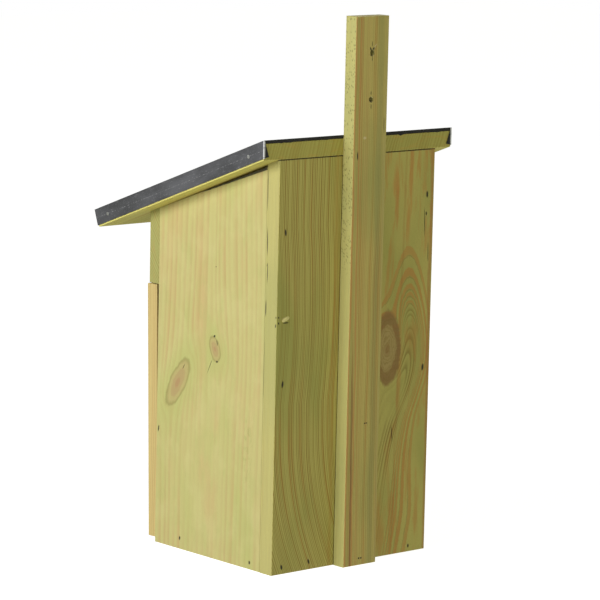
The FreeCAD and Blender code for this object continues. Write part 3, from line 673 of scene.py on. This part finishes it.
batten_pine = make_pine("pine_batten", Board(
    early=srgb(196, 182, 102), late=srgb(154, 126, 58), orange=srgb(184, 138, 68), green=srgb(148, 152, 80),
    spacing=2.3, contrast=0.6, saw=0.55, seed=9.0, edge=srgb(156, 162, 100), edge_pores=292.0,
    # Its top cut end is made very pale: painted light on the end that faces up.
    end=0.9, end_painted_light=srgb(250, 242, 180),
    bores=[(0, 499.8, 3.0, 4.0, 0), (0, 455, 3.0, 3.4, 0)],
    dark_marks=[(-2.2, 140.5, 1.1, 0.9, 0), (-4.4, 140.5, 1.0, 0.8, 0), (1.2, 7.0, 1.3, 1.1, 0),
                (-1.6, 7.0, 1.3, 1.1, 0), (-1.6, 503.6, 1.3, 2.6, -0.45), (1.6, 503.4, 1.2, 2.6, 0.5),
                (0.2, 508.6, 0.35, 3.2, 0), (-0.2, 494.2, 0.4, 2.4, 0), (0.3, 461.6, 0.5, 2.4, 0),
                (-0.2, 448.6, 0.45, 3.0, 0), (15.5, 402, 0.9, 5.0, 0.0), (-17.5, 430, 0.3, 9.0, 0.02)],
    pale_marks=[(6.8, 418.8, 2.6, 1.8, 0), (0.2, 455.6, 1.0, 1.5, 0.2), (-3.9, 506.5, 1.0, 2.6, -0.8)],
    streaks=[(13.0, 1.7, 0.006, 0.6, srgb(190, 130, 72)), (20.2, 1.8, 0.003, 0.66, srgb(196, 136, 76)),
             (9.0, 1.4, 0.012, 0.4, srgb(182, 130, 70)), (4.5, 5.0, 0.0, 0.3, srgb(196, 170, 98)),
             (17.0, 2.0, 0.0, 0.4, srgb(166, 164, 88)), (-12.0, 6.0, 0.0, 0.42, srgb(140, 142, 84)),
             (-18.5, 2.5, 0.0, 0.4, srgb(178, 170, 106))]), upright, blotches=batten_blotches)

# %% [markdown]
# The other boards show less: cut ends and edges under the roof, and the front that faces away.

# %% Front, door, floor and roof boards
front_pine = make_pine("pine_front", Board(
    early=srgb(178, 177, 102), late=srgb(134, 122, 60), orange=srgb(164, 134, 70), green=srgb(158, 162, 92),
    spacing=4.2, contrast=0.8, seed=13.0), lying)
door_pine = make_pine("pine_door", Board(
    early=srgb(192, 172, 108), late=srgb(154, 112, 56), orange=srgb(188, 142, 80), green=srgb(168, 160, 90),
    spacing=4.6, contrast=0.85, seed=17.0, knots=[(34, 150, 9, 15, 0.1)],
    knot_bands=[(1.0, 0.8, srgb(128, 88, 44)), (0.8, 0.8, srgb(170, 128, 76))]), upright)
floor_pine = make_pine("pine_floor", Board(
    early=srgb(200, 188, 118), late=srgb(150, 122, 62), orange=srgb(180, 136, 72), green=srgb(164, 160, 90),
    spacing=4.0, seed=21.0), lying)
roof_pine = make_pine("pine_roof", Board(
    early=srgb(212, 206, 114), late=srgb(158, 142, 64), orange=srgb(188, 148, 60), green=srgb(170, 170, 80),
    spacing=3.6, contrast=0.7, saw=0.8, seed=25.0), sloped)
torn_pine = make_pine("pine_torn", Board(
    early=srgb(232, 222, 150), late=srgb(206, 188, 112), orange=srgb(222, 198, 128),
    green=srgb(210, 210, 132), spacing=2.0, contrast=0.4, seed=29.0), lying)
print("pine materials:", [m.name for m in bpy.data.materials if m.name.startswith("pine")])

# %% [markdown]
# A sawn board's long edges are never razor sharp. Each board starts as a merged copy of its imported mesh,
# and a narrow bevel on its long outer edges catches the light.

# %% Softened copies
def merged_copy(node, prepare=None):
    """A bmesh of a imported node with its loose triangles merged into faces."""
    bm = bmesh.new()
    bm.from_mesh(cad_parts[node].data)
    bmesh.ops.remove_doubles(bm, verts=bm.verts, dist=1e-6)
    if prepare:
        prepare(bm)
    bmesh.ops.dissolve_limit(bm, angle_limit=math.radians(1), verts=bm.verts, edges=bm.edges)
    return bm


def bevel_edges(bm, edges, width, segments=3):
    bmesh.ops.bevel(bm, geom=edges, offset=width, offset_type="OFFSET", segments=segments, profile=0.5,
                    affect="EDGES", clamp_overlap=True, material=-1)


def corner_edges(bm, shortest, steepest=math.radians(50)):
    """Edges longer than shortest where two faces meet at a real corner."""
    return [edge for edge in bm.edges if edge.is_manifold and edge.calc_length() > shortest
            and edge.calc_face_angle(0) > steepest and edge.is_convex]


def add_piece(name, bm, material, body, smooth_angle=30):
    """Turn a bmesh into a finished piece that rides on a body."""
    mesh = bpy.data.meshes.new(name)
    bm.to_mesh(mesh)
    bm.free()
    mesh.materials.append(material)
    mesh.shade_smooth()
    mesh.set_sharp_from_angle(angle=math.radians(smooth_angle))
    piece = bpy.data.objects.new(name, mesh)
    bpy.context.scene.collection.objects.link(piece)
    even = piece.modifiers.new("even_normals", "WEIGHTED_NORMAL")
    even.keep_sharp = True
    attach(piece, body)
    return piece


def replace_node(node, bm, material, body, smooth_angle=30):
    piece = add_piece(f"{node}_look", bm, material, body, smooth_angle)
    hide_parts(node)
    print(node, len(piece.data.polygons), "faces")


# %% [markdown]
# Nails were driven a little too deep, so the fibres closed over their heads and left short dark slits. The
# packed boards hold round seats there. Each seat is merged to one vertex before the flat faces are joined,
# and the slit itself is in the material, as a dark mark that also presses the surface in.

# %% Nail slits
def close_bores(bm, centres, radius, axis):
    """Merge each bored hole to one vertex on each face. Centres are points on the board's surface."""
    others = [index for index in range(3) if index != axis]
    for centre in centres:
        near = [v for v in bm.verts if math.hypot(*(v.co[i] - centre[i] for i in others)) < radius]
        if not near:
            continue
        surface = centre[axis]
        far = max((v.co[axis] for v in near), key=lambda level: abs(level - surface))
        for level in (surface, far):
            group = [v for v in near if abs(v.co[axis] - level) <= abs(v.co[axis] - (surface + far - level))]
            place = centre.copy()
            place[axis] = level
            if group:
                bmesh.ops.pointmerge(bm, verts=group, merge_co=place)
            near = [v for v in near if v.is_valid and v not in group]
    loose = [e for e in bm.edges if not e.link_faces]
    bmesh.ops.delete(bm, geom=loose, context="EDGES")


SEAT_RADIUS = 0.0026
LONG_EDGE = 0.02


def board_copy(node, centres=(), axis=1, bevel=0.0006):
    """A packed board with its nail seats closed and its long edges softened."""
    bm = merged_copy(node, lambda loose: close_bores(loose, centres, SEAT_RADIUS, axis))
    bevel_edges(bm, corner_edges(bm, LONG_EDGE), bevel)
    return bm


REAR_NAILS = [(91, 332.1), (91, 186.1), (87.5, 7), (-91, 357), (-91, 185.3), (-87.5, 7), (53, 8), (-78, 6)]
rear_nails = [house_point(x, 0, z) for x, z in REAR_NAILS]
back_bm = board_copy("back_board", rear_nails)
open_edges = [edge for edge in back_bm.edges if not edge.is_manifold]
print("back board:", len(back_bm.verts), "vertices,", len(open_edges), "open edges")

# %% [markdown]
# A pale chip stands off the back board near its corner, where the saw tore it, and thin splinters cross the
# batten's holes. A splinter is a four-sided cone, flattened; the chip is a ball, stretched and roughened.

# %% Splinters
def add_splinter(bm, root, tip, width):
    """A flat wedge of wood from root to tip."""
    along = tip - root
    made = bmesh.ops.create_cone(bm, segments=4, radius1=width / 2, radius2=width * 0.08,
                                 depth=along.length, cap_ends=True)["verts"]
    bmesh.ops.scale(bm, vec=Vector((1.0, 0.35, 1.0)), verts=made)
    turn = along.to_track_quat("Z", "Y").to_matrix().to_4x4()
    bmesh.ops.transform(bm, matrix=Matrix.Translation(root + along / 2) @ turn, verts=made)
    return made


replace_node("back_board", back_bm, back_pine, "house")


def add_chip(name, centre, half, turn_degrees, material):
    """A torn chip of wood: a small ball, stretched, roughened by noise and laid on the surface."""
    bm = bmesh.new()
    bmesh.ops.create_icosphere(bm, subdivisions=3, radius=1.0)
    for vertex in bm.verts:
        vertex.co *= 1.0 + 0.35 * noise.noise(vertex.co * 1.7 + Vector((3, 1, 8)))
    bmesh.ops.scale(bm, vec=Vector(half), verts=bm.verts)
    place = Matrix.Translation(centre) @ Matrix.Rotation(math.radians(turn_degrees), 4, "Y")
    bmesh.ops.transform(bm, matrix=place, verts=bm.verts)
    chip = add_piece(name, bm, material, "house")
    print(name, "made of", len(chip.data.polygons), "faces")


add_chip("corner_chip", house_point(89.2, 0.4, 248.7), (0.0046, 0.0010, 0.0019), 20, torn_pine)

# %% [markdown]
# The batten hangs the box on two nails. Its holes were torn when the nails pulled: each rim is ragged, not
# round. The rim's vertices on the rear face are moved by their angle and a little noise.

# %% Batten with torn holes
def tear_rim(bm, centre, radius, shape):
    """Move the rim on the rear face outwards: shape gives the new distance, in mm, for an angle."""
    rim = [v for v in bm.verts if abs(v.co.y - centre.y) < 1e-5
           and abs(math.hypot(v.co.x - centre.x, v.co.z - centre.z) - radius) < 0.0004]
    for vertex in rim:
        angle = math.atan2(vertex.co.z - centre.z, vertex.co.x - centre.x)
        reach = (shape(angle) + noise.noise(Vector((angle * 1.7, centre.z * 50, 3))) * 0.35) * MM
        vertex.co.x = centre.x + math.cos(angle) * reach
        vertex.co.z = centre.z + math.sin(angle) * reach
    return len(rim)


BATTEN_DEPTH = (batten_high.y - REAR) * 1000
batten_nails = [house_point(0, BATTEN_DEPTH, 7), house_point(-3, BATTEN_DEPTH, 139.9)]
batten_bm = board_copy("hanging_batten", batten_nails)
upper_hole = house_point(0, BATTEN_DEPTH, 500)
lower_hole = house_point(0, BATTEN_DEPTH, 455)
HOLE_RADIUS = 0.0025
upper_count = tear_rim(batten_bm, upper_hole, HOLE_RADIUS, lambda t: 2.6 + 0.9 * abs(math.sin(t)) ** 3)
lower_count = tear_rim(batten_bm, lower_hole, HOLE_RADIUS, lambda t: 2.7 + 0.5 * math.sin(t))
print("rim vertices:", upper_count, lower_count)
for hole, root, tip, width in (
        (upper_hole, (-0.0040, -0.0004, 0.0062), (-0.0018, 0.0, 0.0012), 0.0017),
        (upper_hole, (0.0012, -0.0006, 0.0044), (0.0002, -0.0002, 0.0006), 0.0016),
        (lower_hole, (0.0012, -0.0010, -0.0040), (0.0003, 0.0, 0.0006), 0.0024)):
    add_splinter(batten_bm, hole + Vector(root), hole + Vector(tip), width)
replace_node("hanging_batten", batten_bm, batten_pine, "house")

# %% [markdown]
# The other boards need only their soft edges. The side boards have nails low down that closed over like the
# rear ones; the door is planed rounder, because it is handled.

# %% Side, front, door, floor and roof boards
def side_nails(x):
    return [Vector((x, REAR - 0.033, 0.007)), Vector((x, REAR - 0.141, 0.011))]


replace_node("right_side_board", board_copy("right_side_board", side_nails(HALF), axis=0), side_pine,
             "house")
replace_node("left_side_board", board_copy("left_side_board", side_nails(-HALF), axis=0), side_pine,
             "house")
replace_node("upper_front_board", board_copy("upper_front_board", bevel=0.0008), front_pine,
             "house")
replace_node("door_board", board_copy("door_board", bevel=0.0012), door_pine, "door")
replace_node("floor_board", board_copy("floor_board"), floor_pine, "house")
replace_node("roof_board", board_copy("roof_board", bevel=0.0005), roof_pine, "house")

# %% [markdown]
# Under the sheet lies roofing felt: black bitumen on a mat, cut by hand, so its rear edge is ragged. The
# copy's rear face is cut into short strips and its lower corners are moved a little.

# %% Roofing felt
def make_felt_material():
    shader = Shader("roofing_felt")
    x, y, z = shader.place_mm()
    grit = shader.noise(x * 1.8, y * 1.8, z * 1.8, 3.0, 0.7)
    dust = shader.noise(x * 0.12, y * 0.2, z * 0.4, 2.0)
    colour = shader.mix(grit.ramp(0.35, 0.75), (0.006, 0.006, 0.006), (0.045, 0.045, 0.042))
    colour = shader.mix(dust.ramp(0.5, 0.8) * 0.3, colour, (0.10, 0.10, 0.085))
    return shader.finish(colour, 0.75 + grit * 0.2, normal=shader.bump(grit * 0.35))


def rag_rear_edge(bm, reach_down, reach_back, step=0.003):
    """Cut the felt into strips across and move the lower corners of its rear edge by noise."""
    low = min(v.co.x for v in bm.verts)
    high = max(v.co.x for v in bm.verts)
    count = int((high - low) / step)
    for index in range(1, count):
        geom = list(bm.verts) + list(bm.edges) + list(bm.faces)
        place = Vector((low + (high - low) * index / count, 0, 0))
        bmesh.ops.bisect_plane(bm, geom=geom, plane_co=place, plane_no=Vector((1, 0, 0)), dist=1e-7)
    behind = max(v.co.y for v in bm.verts) - 0.004
    under = min(v.co.z for v in bm.verts if v.co.y > behind) + 0.001
    for vertex in bm.verts:
        if vertex.co.y > behind and vertex.co.z < under:
            coarse = noise.noise(Vector((vertex.co.x * 90, 1.5, 0)))
            fine = noise.noise(Vector((vertex.co.x * 330, 7, 0)))
            rough = coarse + 0.5 * fine
            vertex.co.z -= max(rough, 0) * reach_down
            vertex.co.y += rough * reach_back


felt_material = make_felt_material()
felt_bm = merged_copy("roof_felt")
rag_rear_edge(felt_bm, 0.0016, 0.0003)
replace_node("roof_felt", felt_bm, felt_material, "house")

# %% [markdown]
# The roof cover is one piece of thin grey-coated sheet, folded down over three edges. A folded edge is
# round, so the fold lines of the copy are bevelled. Handling left rubbed patches and a long scratch on the
# flange. The rear edge is darkened, partly dirt and partly painted shade, and a painted highlight runs down
# the fold at each rear corner; all of it is in the material.

# %% Folded sheet
def make_sheet_material():
    shader = Shader("grey_sheet")
    x, y, z = shader.place_mm()
    along = y * math.cos(SLOPE) + z * math.sin(SLOPE)
    rise = z * math.cos(SLOPE) - y * math.sin(SLOPE)
    cloud = shader.noise(along * 0.02, rise * 0.05, x * 0.02, 3.0)
    specks = shader.noise(along * 0.9, rise * 0.9, x * 0.9, 3.0, 0.65)
    drawn = shader.noise(along * 0.02, rise * 2.2, x * 0.5, 2.0)
    colour = shader.mix(cloud.ramp(0.3, 0.7), srgb(70, 71, 73), srgb(94, 95, 98))
    colour = shader.mix(specks.ramp(0.58, 0.72) * 0.4, colour, srgb(140, 143, 146))
    rubbed = shader.noise(along * 0.16, rise * 0.5, x * 0.1, 4.0, 0.75).ramp(0.56, 0.70)
    colour = shader.mix(rubbed * 0.52, colour, srgb(142, 143, 146))
    middle = (rise - TOP_MM * math.cos(SLOPE) + REAR_MM * math.sin(SLOPE) - 9.2).abs()
    dashes = shader.noise(along * 0.3, 4.0, 0.0, 3.0, 0.7).ramp(0.48, 0.58)
    scratch = (1.0 - middle.ramp(0.12, 0.42)) * dashes
    colour = shader.mix(scratch * 0.48, colour, srgb(176, 178, 178))
    corner = x.abs().ramp(119.0, 119.6)
    # Near-black along the rear edge: partly bitumen dirt, partly painted shade of the shadowed edge.
    edge_dirt_and_shade = y.ramp(REAR_MM - 1.6, REAR_MM - 0.4) * (1.0 - corner)
    colour = shader.mix(edge_dirt_and_shade * 0.85, colour, (0.010, 0.010, 0.011))
    # Painted highlight: a broken near-white line down the fold at each rear corner.
    highlight_breaks = shader.noise(rise * 0.35, 9.0, 0.0, 2.0).ramp(0.3, 0.5)
    fold_highlight = y.ramp(REAR_MM - 0.6, REAR_MM + 0.1) * corner * highlight_breaks
    colour = shader.mix(fold_highlight * 0.9, colour, srgb(236, 238, 240))
    roughness = 0.42 + cloud * 0.14 - scratch * 0.1
    return shader.finish(colour, roughness, metallic=0.5,
                         normal=shader.bump(specks * 0.05 + drawn * 0.03 + cloud * 0.4, 0.6))


sheet_material = make_sheet_material()
cover_bm = merged_copy("roof_cover")
bevel_edges(cover_bm, corner_edges(cover_bm, 0.01), 0.00055, 3)
replace_node("roof_cover", cover_bm, sheet_material, "house", 40)

# %% [markdown]
# Nails, tacks, screws, hinges and the hook are small steel parts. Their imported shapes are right, so each
# copy only gets rounded rims, which is what makes turned and pressed metal read as metal.

# %% Steel parts
def make_steel(name, dark, light, rust, metallic):
    shader = Shader(name)
    x, y, z = shader.place_mm()
    spangle = shader.cells(x * 0.55, y * 0.55, z * 0.55)
    cloud = shader.noise(x * 0.3, y * 0.3, z * 0.3, 3.0)
    colour = shader.mix(cloud.ramp(0.3, 0.7), dark, light)
    colour = shader.mix(spangle.ramp(0.2, 0.9) * 0.25, colour, dark)
    worn = shader.noise(x * 0.9, y * 0.9, z * 0.9, 3.0, 0.7).ramp(0.62, 0.75)
    colour = shader.mix(worn * 0.4, colour, rust)
    return shader.finish(colour, 0.34 + cloud * 0.22 + worn * 0.2, metallic=metallic,
                         normal=shader.bump(cloud * 0.12 + worn * 0.06))


zinc = make_steel("zinc_steel", srgb(140, 142, 138), srgb(190, 192, 188), srgb(126, 104, 72), 0.9)
nail_steel = make_steel("nail_steel", srgb(92, 90, 84), srgb(150, 148, 140), srgb(84, 56, 34), 0.8)


def steel_copy(node, material, body, width=0.00015):
    """A steel part with its rims rounded."""
    bm = merged_copy(node)
    bevel_edges(bm, corner_edges(bm, 0.0, math.radians(25)), width, 2)
    replace_node(node, bm, material, body, 40)


for side in ("right", "left"):
    steel_copy(f"hinge_{side}_floor_leaf", zinc, "house")
    steel_copy(f"hinge_{side}_door_leaf", zinc, "door")
    steel_copy(f"hinge_{side}_pin", zinc, "house", 0.0003)
steel_copy("catch_hook", zinc, "catch", 0.0006)
screws = {"batten_screws": "house", "hinge_floor_screws": "house", "hinge_door_screws": "door"}
for node, body in screws.items():
    steel_copy(node, zinc, body, 0.0001)
for node in ("back_nails", "side_nails", "upper_front_nails", "roof_nails", "batten_nails"):
    steel_copy(node, nail_steel, "house", 0.0003)
steel_copy("cover_tacks", zinc, "house", 0.0004)

# %% [markdown]
# The studio floor is a wide pale sheet. It glows faintly, so that it reads white and the box still leaves a
# soft shadow where it stands. It doesn't light the box: the world's lower half does that in its place.

# %% Floor
def make_floor_material():
    shader = Shader("studio_floor")
    x, y, _ = shader.place_mm()
    soft = shader.noise(x * 0.004, y * 0.004, 0.0, 2.0)
    colour = shader.mix(soft, (0.50, 0.50, 0.49), (0.54, 0.54, 0.53))
    return shader.finish(colour, 0.9, Emission_Color=(1, 1, 1, 1), Emission_Strength=0.93)


floor_bm = bmesh.new()
bmesh.ops.create_grid(floor_bm, x_segments=8, y_segments=8, size=6.0)
floor_mesh = bpy.data.meshes.new("studio_floor")
floor_bm.to_mesh(floor_mesh)
floor_bm.free()
floor_mesh.materials.append(make_floor_material())
studio_floor = bpy.data.objects.new("studio_floor", floor_mesh)
bpy.context.scene.collection.objects.link(studio_floor)
studio_floor.visible_diffuse = False
studio_floor.visible_glossy = False
print("floor added")
